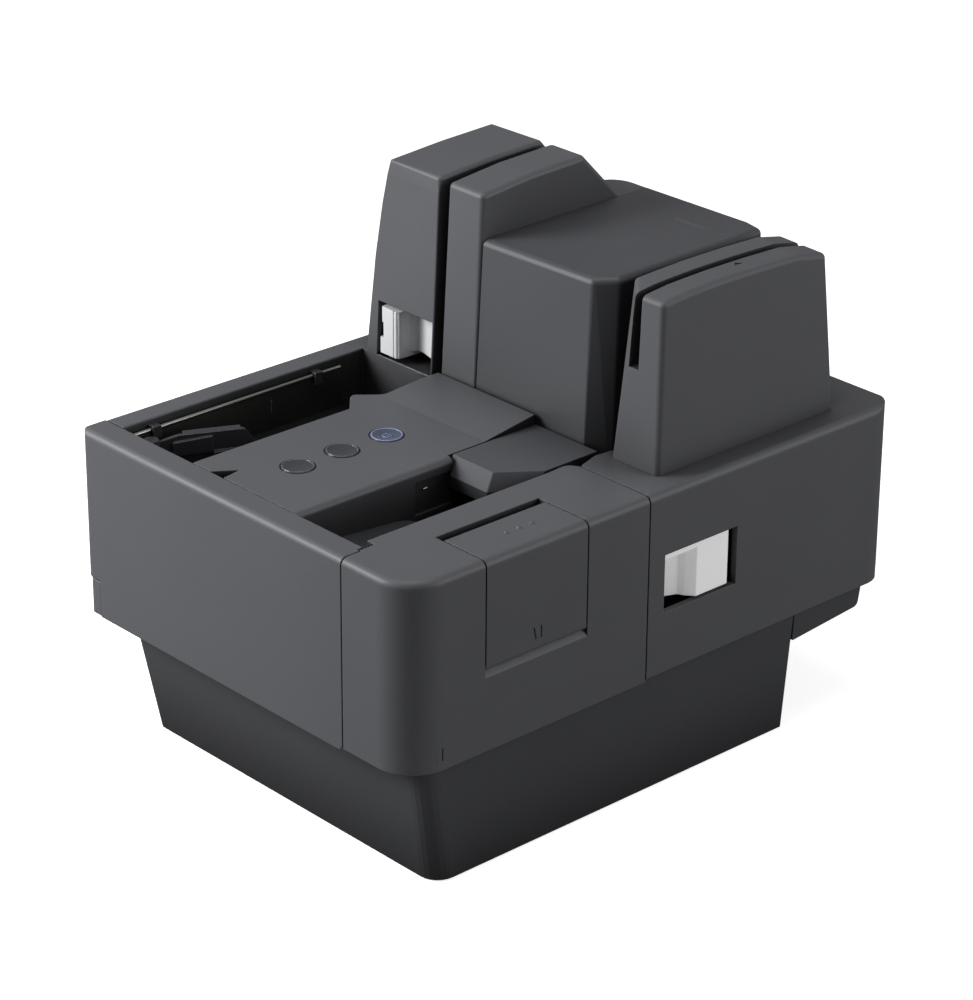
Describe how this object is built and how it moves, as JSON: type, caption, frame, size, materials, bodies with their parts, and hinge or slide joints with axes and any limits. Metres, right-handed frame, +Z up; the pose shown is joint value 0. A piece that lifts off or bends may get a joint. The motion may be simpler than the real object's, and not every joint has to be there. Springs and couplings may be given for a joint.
{
  "type": "cheque scanner",
  "caption": "Desktop cheque scanner: open hopper at the left, upright U-shaped track between towers on swing-open covers, card swipe slot, exit pocket, three buttons, tapered base.",
  "frame": {"origin": "centre of the footprint on the ground, under the four rubber feet", "axes": "+X is the right side with the imprinter cover, the front panel faces -Y, +Z is up"},
  "size_m": [0.206, 0.276, 0.2315],
  "materials": {
    "dark_grey_plastic": "fine spark texture, moulded",
    "base_plastic": "fine spark texture, moulded",
    "track_plastic": "smooth satin",
    "black_plastic": "satin",
    "white_plastic": "satin",
    "button_plastic": "smooth satin",
    "pinch_plastic": "smooth",
    "cartridge_plastic": "satin",
    "foot_rubber": "matt",
    "roller_rubber": "ground",
    "belt_rubber": "matt",
    "guide_steel": "rolled sheet",
    "pin_steel": "ground",
    "port_metal": "plated",
    "motor_metal": "turned",
    "circuit_board": "solder resist",
    "sensor_black": "polished",
    "blue_light": "clear, lit from behind"
  },
  "bodies": {
    "chassis": {"base_tray": "base_plastic", "chassis_plate": "base_plastic", "foot_front_left": "foot_rubber", "foot_front_right": "foot_rubber", "foot_rear_left": "foot_rubber", "foot_rear_right": "foot_rubber", "front_panel": "dark_grey_plastic", "left_wall": "dark_grey_plastic", "corner_housing": "dark_grey_plastic", "document_floor": "track_plastic", "control_panel": "dark_grey_plastic", "exit_hood": "dark_grey_plastic", "pocket_floor": "track_plastic", "scan_tower": "dark_grey_plastic", "centre_block": "dark_grey_plastic", "rear_post": "track_plastic", "left_hinge_pin": "pin_steel", "right_hinge_pin": "pin_steel", "guide_plate": "guide_steel", "front_clip": "black_plastic", "rear_clip": "black_plastic", "button_board": "circuit_board", "main_board": "circuit_board", "power_inlet": "black_plastic", "data_port": "port_metal", "drive_motor": "motor_metal", "feed_motor": "motor_metal", "magnetic_head": "motor_metal", "centre_image_sensor": "sensor_black", "ink_cartridge": "cartridge_plastic", "drive_belt": "belt_rubber", "feed_belt": "belt_rubber"},
    "left_cover_body": {"left_cover": "dark_grey_plastic", "left_tower": "dark_grey_plastic", "left_rear_guide": "track_plastic", "left_image_sensor": "sensor_black"},
    "right_cover_body": {"right_cover": "dark_grey_plastic", "right_tower": "dark_grey_plastic", "right_rear_guide": "track_plastic", "card_head": "motor_metal"},
    "left_lever_body": {"left_lever": "white_plastic"},
    "right_lever_body": {"right_lever": "white_plastic"},
    "imprinter_cover_body": {"imprinter_cover": "dark_grey_plastic"},
    "pusher_arm_body": {"pusher_arm": "black_plastic"},
    "front_button_body": {"front_button": "button_plastic"},
    "middle_button_body": {"middle_button": "button_plastic"},
    "power_button_body": {"power_button": "button_plastic", "power_light": "blue_light"},
    "pickup_roller_body": {"pickup_roller": "roller_rubber"},
    "feed_roller_body": {"feed_roller": "roller_rubber"},
    "retard_roller_body": {"retard_roller": "roller_rubber"},
    "drive_roller_1_body": {"drive_roller_1": "roller_rubber"},
    "drive_roller_2_body": {"drive_roller_2": "roller_rubber"},
    "drive_roller_3_body": {"drive_roller_3": "roller_rubber"},
    "drive_roller_4_body": {"drive_roller_4": "roller_rubber"},
    "pinch_roller_1_body": {"pinch_roller_1": "pinch_plastic"},
    "pinch_roller_2_body": {"pinch_roller_2": "pinch_plastic"},
    "pinch_roller_3_body": {"pinch_roller_3": "pinch_plastic"},
    "pinch_roller_4_body": {"pinch_roller_4": "pinch_plastic"},
    "motor_pulley_body": {"motor_pulley": "port_metal"}
  },
  "joints": [
    {"name": "left_cover_hinge", "type": "hinge", "parent": "chassis", "child": "left_cover_body", "pos_m": [-0.0043, 0.133, 0.0965], "axis": [0, 0, -1], "range_deg": [0, 60]},
    {"name": "right_cover_hinge", "type": "hinge", "parent": "chassis", "child": "right_cover_body", "pos_m": [0.0203, 0.133, 0.0965], "axis": [0, 0, 1], "range_deg": [0, 60]},
    {"name": "left_lever_slide", "type": "slide", "parent": "left_cover_body", "child": "left_lever_body", "axis": [1, 0, 0], "range_m": [0, 0.0036], "stiffness_N_per_m": 400},
    {"name": "right_lever_slide", "type": "slide", "parent": "right_cover_body", "child": "right_lever_body", "axis": [0, 1, 0], "range_m": [0, 0.0036], "stiffness_N_per_m": 400},
    {"name": "imprinter_cover_hinge", "type": "hinge", "parent": "chassis", "child": "imprinter_cover_body", "pos_m": [0.1015, -0.0707, 0.0925], "axis": [0, 1, 0], "range_deg": [0, 80]},
    {"name": "pusher_arm_hinge", "type": "hinge", "parent": "chassis", "child": "pusher_arm_body", "pos_m": [-0.0843, -0.116, 0.1265], "axis": [0, 0, -1], "range_deg": [-14, 26], "stiffness_Nm_per_rad": 0.02},
    {"name": "front_button_press", "type": "slide", "parent": "chassis", "child": "front_button_body", "axis": [0, 0, -1], "range_m": [0, 0.001], "stiffness_N_per_m": 400},
    {"name": "middle_button_press", "type": "slide", "parent": "chassis", "child": "middle_button_body", "axis": [0, 0, -1], "range_m": [0, 0.001], "stiffness_N_per_m": 400},
    {"name": "power_button_press", "type": "slide", "parent": "chassis", "child": "power_button_body", "axis": [0, 0, -1], "range_m": [0, 0.001], "stiffness_N_per_m": 400},
    {"name": "drive_roller_1_spin", "type": "hinge", "parent": "chassis", "child": "drive_roller_1_body", "pos_m": [-0.0346, 0.03, 0.1365], "axis": [0, 0, 1], "continuous": true},
    {"name": "drive_roller_2_spin", "type": "hinge", "parent": "chassis", "child": "drive_roller_2_body", "pos_m": [-0.0075, 0.1046, 0.1365], "axis": [0, 0, 1], "continuous": true},
    {"name": "drive_roller_3_spin", "type": "hinge", "parent": "chassis", "child": "drive_roller_3_body", "pos_m": [0.035, 0.1046, 0.1365], "axis": [0, 0, 1], "continuous": true},
    {"name": "drive_roller_4_spin", "type": "hinge", "parent": "chassis", "child": "drive_roller_4_body", "pos_m": [0.0481, 0.045, 0.1365], "axis": [0, 0, 1], "continuous": true},
    {"name": "motor_pulley_spin", "type": "hinge", "parent": "chassis", "child": "motor_pulley_body", "pos_m": [0.00675, 0.002, 0.0735], "axis": [0, 0, 1], "continuous": true},
    {"name": "feed_roller_spin", "type": "hinge", "parent": "chassis", "child": "feed_roller_body", "pos_m": [-0.0346, -0.006, 0.1245], "axis": [0, 0, 1], "continuous": true},
    {"name": "pickup_roller_spin", "type": "hinge", "parent": "chassis", "child": "pickup_roller_body", "pos_m": [-0.0456, -0.031, 0.1245], "axis": [0, 0, 1], "continuous": true},
    {"name": "retard_roller_spin", "type": "hinge", "parent": "chassis", "child": "retard_roller_body", "pos_m": [-0.0504, -0.006, 0.1245], "axis": [0, 0, 1], "continuous": true},
    {"name": "pinch_roller_1_spin", "type": "hinge", "parent": "left_cover_body", "child": "pinch_roller_1_body", "pos_m": [-0.0504, 0.03, 0.1565], "axis": [0, 0, 1], "continuous": true},
    {"name": "pinch_roller_2_spin", "type": "hinge", "parent": "left_cover_body", "child": "pinch_roller_2_body", "pos_m": [-0.0075, 0.1204, 0.1565], "axis": [0, 0, 1], "continuous": true},
    {"name": "pinch_roller_3_spin", "type": "hinge", "parent": "right_cover_body", "child": "pinch_roller_3_body", "pos_m": [0.035, 0.1204, 0.1565], "axis": [0, 0, 1], "continuous": true},
    {"name": "pinch_roller_4_spin", "type": "hinge", "parent": "right_cover_body", "child": "pinch_roller_4_body", "pos_m": [0.0639, 0.045, 0.1565], "axis": [0, 0, 1], "continuous": true}
  ],
  "couplings": [
    {"joint": "drive_roller_2_spin", "follows": "drive_roller_1_spin", "ratio": 1},
    {"joint": "drive_roller_3_spin", "follows": "drive_roller_1_spin", "ratio": 1},
    {"joint": "drive_roller_4_spin", "follows": "drive_roller_1_spin", "ratio": 1},
    {"joint": "motor_pulley_spin", "follows": "drive_roller_1_spin", "ratio": 1.5},
    {"joint": "pickup_roller_spin", "follows": "feed_roller_spin", "ratio": 1}
  ]
}
